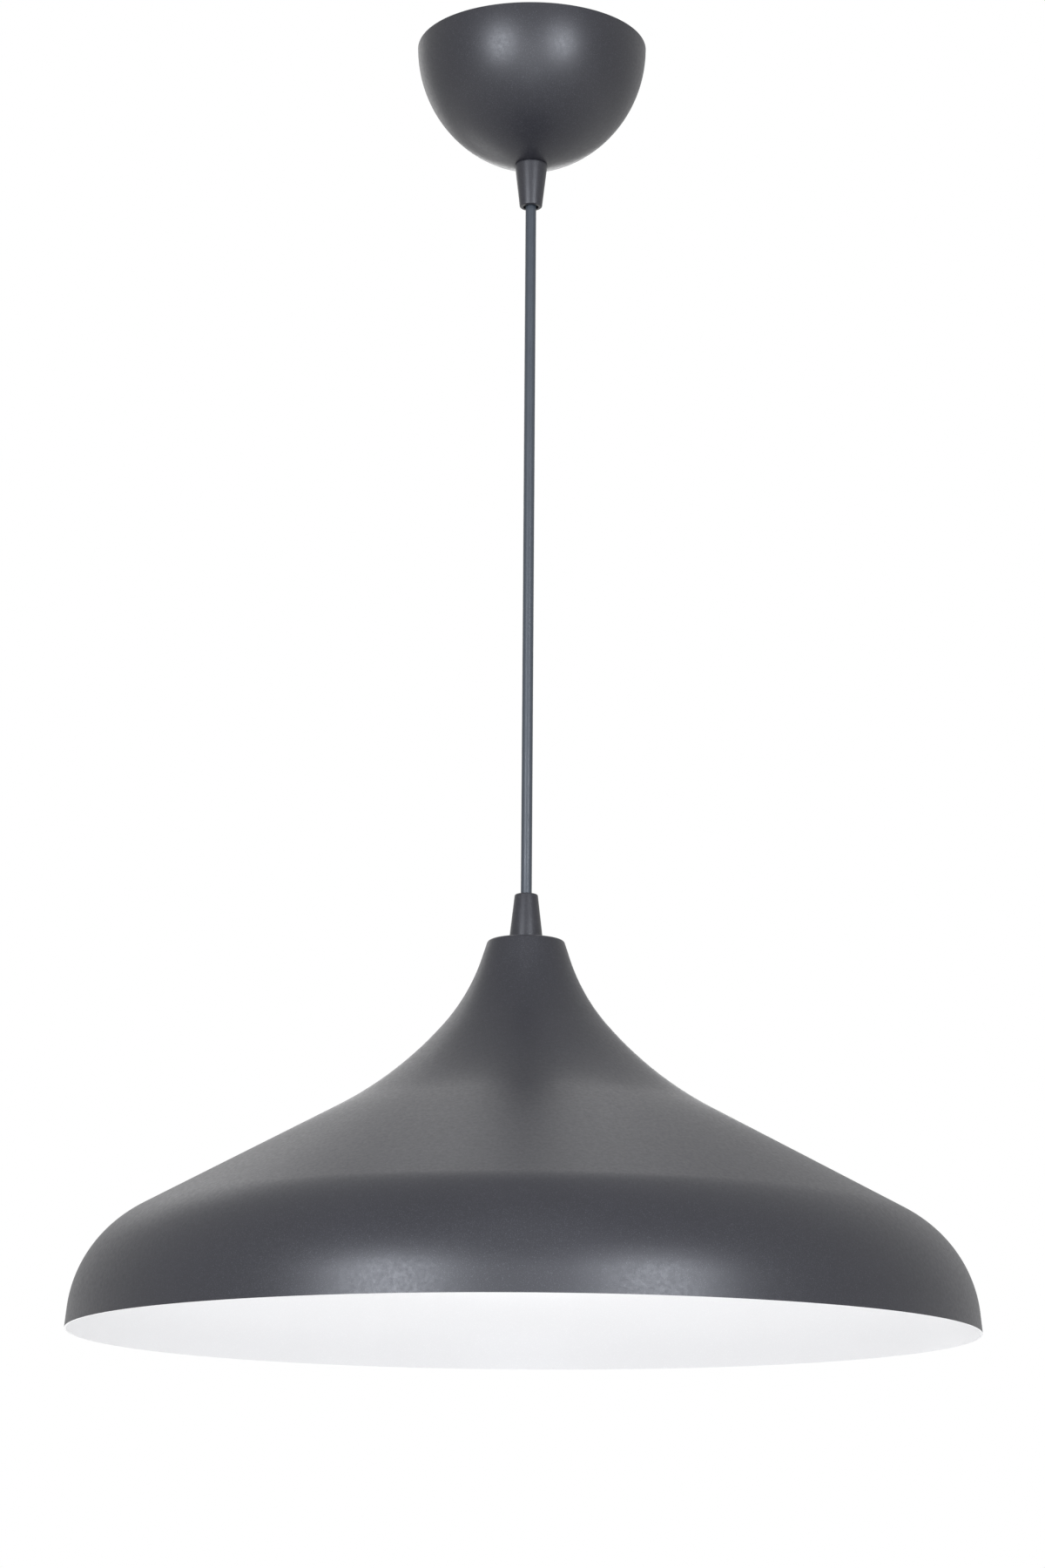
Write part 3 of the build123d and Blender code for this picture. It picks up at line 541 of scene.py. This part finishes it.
@dataclass
class Grip(Remade):
    """Conical cord grip: a wide end with a short straight band, a long cone and a recessed mouth."""

    finish: Finish = Finish.COAT
    mouth_up: bool = False
    wide: float = 8.5  # radius
    tip: float = 5.85  # radius
    length: float = 24.0
    band: float = 1.0
    thread: float = 5.05  # radius of the threaded hole
    thread_depth: float = 16.8
    mouth: float = 4.0  # radius of the recess round the cord
    recess: float = 2.0
    cord_hole: float = 3.3
    edges: tuple[float, ...] = (0.6, 3.0, 0.9, 0.35, 0.3, 0.2, 0.0, 0.0)  # bend radius at each inner corner
    steps: int = 96
    crease: float = 35.0  # degrees; a sharper edge stays sharp

    def outline(self) -> Outline:
        """Closed outline of the wall, from the threaded hole's mouth round to itself."""
        low, high = self.levels()
        start, way = (low, 1) if self.mouth_up else (high, -1)
        corners = [
            (self.thread, 0.0), (self.wide, 0.0), (self.wide, self.band), (self.tip, self.length),
            (self.mouth, self.length), (self.mouth, self.length - self.recess),
            (self.cord_hole, self.length - self.recess), (self.cord_hole, self.thread_depth),
            (self.thread, self.thread_depth), (self.thread, 0.0),
        ]
        wall = rounded(corners, list(self.edges), step=12)
        return [(radius, start + way * along) for radius, along in wall]

    def build(self) -> bpy.types.Object:
        """Turn the cone with its rounded edges and its recessed mouth."""
        cone = turned(f"{self.node}_cone", self.outline(), self.steps)
        smooth(cone, self.crease)
        return cone


@dataclass
class Bell(Remade):
    """Spun bell shade: flat neck top, hollow flare, straight cone, round shoulder and a plain rim."""

    node: str = "shade"
    body: str = "shade_body"
    finish: Finish = Finish.BELL
    lining: Finish = Finish.LINING
    rim: float = 225.0  # radius
    wall: float = 0.9
    rim_lean: float = 5.8  # degrees
    shoulder: float = 42.2  # height of the shoulder's corner above the rim
    flare: tuple[float, float] = (65.2, 70.9)  # radius, drop below the neck's top
    throat: tuple[float, float] = (28.5, 28.4)
    neck: float = 19.3  # radius
    bends: tuple[float, ...] = (61.5, 193.8, 100.9, 1.8)  # radii at the shoulder, flare, throat and neck
    hole: float = 5.2
    steps: int = 256
    crease: float = 40.0  # degrees; a sharper edge stays sharp

    def outline(self) -> Outline:
        """The outside from the rim up to the hole in the neck's top, as (radius, height)."""
        foot, top = self.levels()
        lean = self.shoulder * math.tan(math.radians(self.rim_lean))
        corners = [
            (self.rim, foot), (self.rim - lean, foot + self.shoulder), (self.flare[0], top - self.flare[1]),
            (self.throat[0], top - self.throat[1]), (self.neck, top), (self.hole, top),
        ]
        return rounded(corners, list(self.bends), step=1.5)

    def build(self) -> bpy.types.Object:
        """Spin the bell and give it its sheet's thickness, the inner side in a second material."""
        bell = turned("shade_bell", self.outline(), self.steps)
        dress(bell, None, None)
        apply_modifier(
            bell, "SOLIDIFY", thickness=self.wall * MM, offset=-1.0, use_even_offset=True, material_offset=1,
            material_offset_rim=1,
        )
        smooth(bell, self.crease)
        return bell

    def dress(self, piece: bpy.types.Object, wardrobe: Wardrobe) -> None:
        """Coat the outside, and line the inside and the rim's edge."""
        piece.material_slots[0].material = wardrobe.get(self.finish)
        piece.material_slots[1].material = wardrobe.get(self.lining)


@dataclass
class Threaded(Remade):
    """A sleeve with a real helical thread, wound from one pitch of its profile."""

    profile: tuple[tuple[float, float], ...] = ()  # (radius, share of the pitch), from 0 to 1
    pitch: float = 1.0
    wall: float = 0.6
    steps: int = 40
    crease: float = 50.0  # degrees; a sharper edge stays sharp

    def wind(self, name: str, low: float, high: float) -> bpy.types.Object:
        """Wind the profile up the Z axis and cut it flat at both ends.

        Args:
            name: The piece's name.
            low: Lower end, in millimetres.
            high: Upper end, in millimetres.

        Returns:
            The open threaded sheet.
        """
        deselect()
        start = low - self.pitch
        bpy.ops.mesh.primitive_plane_add(size=MM, location=(0, 0, 0))
        sheet = bpy.context.object
        sheet.name = name
        bpy.ops.object.mode_set(mode="EDIT")
        bpy.ops.mesh.select_all(action="SELECT")
        bpy.ops.mesh.merge(type="CENTER")
        radius, share = self.profile[0]
        bpy.ops.transform.translate(value=(radius * MM, 0, (start + share * self.pitch) * MM))
        for (radius, share), (next_radius, next_share) in zip(self.profile, self.profile[1:]):
            move = ((next_radius - radius) * MM, 0, (next_share - share) * self.pitch * MM)
            bpy.ops.mesh.extrude_region_move(TRANSFORM_OT_translate={"value": move})
        bpy.ops.object.mode_set(mode="OBJECT")
        turns = math.ceil((high - start) / self.pitch) + 1
        apply_modifier(
            sheet, "SCREW", axis="Z", angle=2 * math.pi, screw_offset=self.pitch * MM, iterations=turns,
            steps=self.steps, render_steps=self.steps, use_merge_vertices=True, merge_threshold=0.001 * MM,
        )
        close_up(sheet)
        bpy.ops.object.mode_set(mode="EDIT")
        for level, side in ((low, {"clear_inner": True}), (high, {"clear_outer": True})):
            bpy.ops.mesh.select_all(action="SELECT")
            bpy.ops.mesh.bisect(plane_co=(0, 0, level * MM), plane_no=(0, 0, 1), **side)
        bpy.ops.object.mode_set(mode="OBJECT")
        return sheet

    def build(self) -> bpy.types.Object:
        """Wind the thread over the node's whole length and give it a wall inwards."""
        low, high = self.levels()
        sleeve = self.wind(f"{self.node}_thread", low, high)
        apply_modifier(sleeve, "SOLIDIFY", thickness=self.wall * MM, offset=-1.0)
        smooth(sleeve, self.crease)
        return sleeve


@dataclass
class TubeThread(Threaded):
    """M10 x 1 tube: a fine V thread, rounded by its plating."""

    finish: Finish = Finish.ZINC
    profile: tuple[tuple[float, float], ...] = (
        (5.0, 0.0), (5.0, 0.14), (4.48, 0.48), (4.48, 0.66), (5.0, 1.0),
    )


@dataclass
class LampThread(Threaded):
    """E27 screw shell: thin brass rolled into a coarse round thread, under a flat flanged pan."""

    node: str = "screw_shell"
    body: str = "shade_body"
    finish: Finish = Finish.BRASS
    minor: float = 12.2  # radius that the lamp's cap clears
    depth: float = 1.0
    pitch: float = 3.63
    wall: float = 0.35
    steps: int = 64
    waves: int = 12  # points in one pitch
    crease: float = 45.0
    pan_h: float = 5.5
    pan_rise: float = 0.3  # from the thread's end to the pan's full width
    pan_bends: tuple[float, ...] = (0.2, 0.3, 0.1, 0.1)  # bend radius at each inner corner
    pan: float = 12.5  # radius
    hole: float = 5.2  # radius round the centre contact
    flange: float = 14.5  # radius
    flange_h: float = 0.5

    def build(self) -> bpy.types.Object:
        """Roll the thread, turn the pan above it and join the two."""
        low, high = self.levels()
        swell = [0.5 - 0.5 * math.cos(2 * math.pi * k / self.waves) for k in range(self.waves + 1)]
        self.profile = tuple((self.minor + self.depth * s, k / self.waves) for k, s in enumerate(swell))
        top = high - self.pan_h
        thread = self.wind("screw_shell_thread", low, top)
        apply_modifier(thread, "SOLIDIFY", thickness=self.wall * MM, offset=1.0)
        ledge = high - self.flange_h
        corners = [
            (self.minor, top), (self.pan, top + self.pan_rise), (self.pan, ledge), (self.flange, ledge),
            (self.flange, high), (self.hole, high),
        ]
        pan = turned("screw_shell_pan", rounded(corners, list(self.pan_bends), step=20), self.steps)
        apply_modifier(pan, "SOLIDIFY", thickness=self.wall * MM, offset=-1.0)
        take(thread)
        pan.select_set(True)
        bpy.ops.object.join()
        smooth(thread, self.crease)
        return thread


@dataclass
class HangingCord(Remade):
    """The straight free stretch of round cord between the two grips' mouths."""

    node: str = "cord"
    body: str = "hanging_cord"
    finish: Finish = Finish.SHEATH
    diameter: float = 0.0056  # metres
    route: tuple[tuple[float, float, float], ...] = ((0.0, 0.0, -0.089), (0.0, 0.0, -0.459))  # metres
    roundness: int = 10  # extra points in each quarter of its section

    def build(self) -> bpy.types.Object:
        """Lay a round tube on the route."""
        data = bpy.data.curves.new("hanging_flex", "CURVE")
        data.dimensions = "3D"
        data.bevel_depth = self.diameter / 2
        data.bevel_resolution = self.roundness
        data.use_fill_caps = True
        line = data.splines.new("NURBS")
        line.points.add(len(self.route) - 1)
        for point, place in zip(line.points, self.route):
            point.co = (*place, 1.0)
        line.order_u = 3
        line.use_endpoint_u = True
        flex = bpy.data.objects.new("hanging_flex", data)
        bpy.context.collection.objects.link(flex)
        return flex

    def fit(self, piece: bpy.types.Object) -> None:
        """Let the cord ride on its body in place of its node."""
        super().fit(piece)


KEPT_NODES: dict[Finish, tuple[str, ...]] = {
    Finish.SHEATH: ("cord_upper_end", "cord_bend_upper", "cord_bend_lower", "cord_lower_end"),
    Finish.NYLON: ("upper_collet", "lower_collet", "terminal_block"),
    Finish.PHENOLIC: ("holder_cap", "holder_skirt"),
    Finish.STEATITE: ("holder_base",),
    Finish.BROWN_CORE: ("upper_core_brown", "lower_core_brown"),
    Finish.BLUE_CORE: ("upper_core_blue", "lower_core_blue"),
    Finish.EARTH_CORE: ("upper_core_earth", "lower_core_earth"),
    Finish.ZINC: (
        "ceiling_bracket", "tube_locknuts", "tube_toothed_washers", "terminal_screws", "terminal_fixing_screw",
        "earth_screw", "upper_earth_lug", "neck_washer", "neck_locknut", "lower_earth_tag", "holder_lock_screw",
        "holder_terminal_screws",
    ),
    Finish.BRASS: (
        "terminal_barrels", "holder_insert", "holder_terminals", "live_strap", "side_contact", "centre_contact",
    ),
}


# ------------------------------------------------------------------------------------------ studio
COOL = "f0f5ff"  # daylight tint of the front bank of lights


@dataclass(frozen=True)
class Softbox:
    """A square studio light that looks at the lamp's middle from a direction."""

    name: str
    azimuth: float  # degrees; 0 is in front, 90 on the right
    height: float  # degrees above the level
    power: float  # watts
    tint: str = "ffffff"
    size: float = 0.62  # metres along one side
    reach: float = 1.6  # metres from the lamp's middle
    middle: tuple[float, float, float] = (0.0, 0.0, -0.35)

    def build(self) -> bpy.types.Object:
        """Add the light and aim it."""
        lamp = bpy.data.lights.new(self.name, "AREA")
        lamp.shape = "SQUARE"
        lamp.size = self.size
        lamp.energy = self.power
        lamp.color = linear(self.tint)[:3]
        box = bpy.data.objects.new(self.name, lamp)
        turn, tilt = math.radians(self.azimuth), math.radians(self.height)
        way = Vector((math.sin(turn) * math.cos(tilt), -math.cos(turn) * math.cos(tilt), math.sin(tilt)))
        box.location = Vector(self.middle) + way * self.reach
        box.rotation_euler = (-way).to_track_quat("-Z", "Y").to_euler()
        box.visible_camera = False
        bpy.context.collection.objects.link(box)
        return box


@dataclass
class Studio:
    """White studio: a pale floor far below, even white surroundings, softboxes and the camera."""

    floor_level: float = -4.6  # low enough to look at the lamp from below
    floor_size: float = 26.0
    near: float = 1.0  # metres from the middle to where the floor begins to fade
    fade: float = 9.0  # metres from the middle to where the floor is as white as the surroundings
    paper: str = "f2f2f2"
    paper_roughness: float = 0.9
    backdrop: float = 1.0  # brightness of the surroundings behind the lamp
    fill: float = 0.71  # brightness that they light the lamp with
    place: tuple[float, float, float] = (-0.0023, -1.8746, -0.8355)
    pitch: float = 13.033
    roll: float = 0.4
    focal: float = 86.71  # millimetres
    sensor: float = 36.0  # millimetres high
    boxes: tuple[Softbox, ...] = (
        Softbox("key_left", -31, 1, 19.5, COOL),
        Softbox("key_right", 30, 1, 18.0, COOL),
        Softbox("bank_middle", 0, -3, 2.4, COOL),
        Softbox("bank_low", 0, -25, 2.6, COOL),
        Softbox("front_top", 0, 42, 0.8, COOL),
        Softbox("back", 180, 12, 2.8),
        Softbox("back_top", 180, 36, 1.2),
        Softbox("back_left_low", -150, -20, 1.4),
        Softbox("back_left_top", -150, 25, 1.0),
        Softbox("under", 0, -89.9, 5.4),
    )

    def build(self) -> None:
        """Set up the floor, the surroundings, the lights and the camera."""
        self.lay_floor()
        self.paint_surroundings()
        for box in self.boxes:
            box.build()
        self.place_camera()
        bpy.context.scene.view_settings.view_transform = "Standard"

    def lay_floor(self) -> None:
        """Lay a matte white paper floor that fades into the white surroundings towards its edge."""
        deselect()
        bpy.ops.mesh.primitive_plane_add(size=self.floor_size, location=(0, 0, self.floor_level))
        floor = bpy.context.object
        floor.name = "studio_floor"
        paper = bpy.data.materials.new("white_paper_floor")
        paper.use_nodes = True
        tree = paper.node_tree
        shader = tree.nodes["Principled BSDF"]
        shader.inputs["Base Color"].default_value = linear(self.paper)
        shader.inputs["Roughness"].default_value = self.paper_roughness
        place = add_node(tree, "TexCoord").outputs["Object"]
        parts = add_node(tree, "SeparateXYZ", links={0: place})
        flat = add_node(tree, "CombineXYZ", links={"X": parts.outputs["X"], "Y": parts.outputs["Y"]})
        far = add_node(tree, "VectorMath", {"operation": "LENGTH"}, {0: flat.outputs["Vector"]})
        share = add_node(
            tree, "MapRange",
            {"interpolation_type": "SMOOTHSTEP", "From Min": self.near, "From Max": self.fade},
            {"Value": far.outputs["Value"]},
        )
        glow = add_node(tree, "Emission", {"Strength": self.backdrop})
        mixed = add_node(
            tree, "MixShader",
            links={0: share.outputs["Result"], 1: shader.outputs["BSDF"], 2: glow.outputs[0]},
        )
        tree.links.new(mixed.outputs[0], tree.nodes["Material Output"].inputs["Surface"])
        dress(floor, paper)

    def paint_surroundings(self) -> None:
        """Show white surroundings, and light the lamp with a dimmer white."""
        world = bpy.data.worlds.new("white_surroundings")
        world.use_nodes = True
        tree = world.node_tree
        shown = tree.nodes["Background"]
        shown.inputs["Color"].default_value = (1, 1, 1, 1)
        strength = add_node(
            tree, "MapRange", {"To Min": self.fill, "To Max": self.backdrop},
            {"Value": add_node(tree, "LightPath").outputs["Is Camera Ray"]},
        )
        tree.links.new(strength.outputs["Result"], shown.inputs["Strength"])
        bpy.context.scene.world = world

    def place_camera(self) -> None:
        """Stand the camera in front of the lamp, below its rim, looking slightly up."""
        data = bpy.data.cameras.new("studio_camera")
        data.sensor_fit = "VERTICAL"
        data.sensor_height = self.sensor
        data.lens = self.focal
        camera = bpy.data.objects.new("studio_camera", data)
        camera.location = self.place
        tilt = math.radians(self.pitch)
        camera.rotation_euler = Vector((0, math.cos(tilt), math.sin(tilt))).to_track_quat("-Z", "Y").to_euler()
        camera.rotation_euler.rotate_axis("Z", math.radians(self.roll))
        bpy.context.collection.objects.link(camera)
        bpy.context.scene.camera = camera


def main() -> None:
    """Build and dress every piece, then set up the studio."""
    logging.basicConfig(level=logging.INFO, format="%(name)s: %(message)s")
    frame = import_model()
    wardrobe = Wardrobe()
    for finish, nodes in KEPT_NODES.items():
        for node in nodes:
            dress(frame["nodes"][node], wardrobe.get(finish))
            LOG.info("%s wears %s", node, finish.name.lower())
    Studio().build()
    pieces: tuple[Remade, ...] = (
        HangingCord(),
        Canopy(),
        Grip("upper_grip", "ceiling"),
        Grip("lower_grip", "shade_body", mouth_up=True),
        Bell(),
        TubeThread("threaded_tube", "ceiling"),
        TubeThread("lower_nipple", "shade_body"),
        LampThread(),
    )
    for piece in pieces:
        piece.make(wardrobe)


if __name__ == "__main__":
    main()
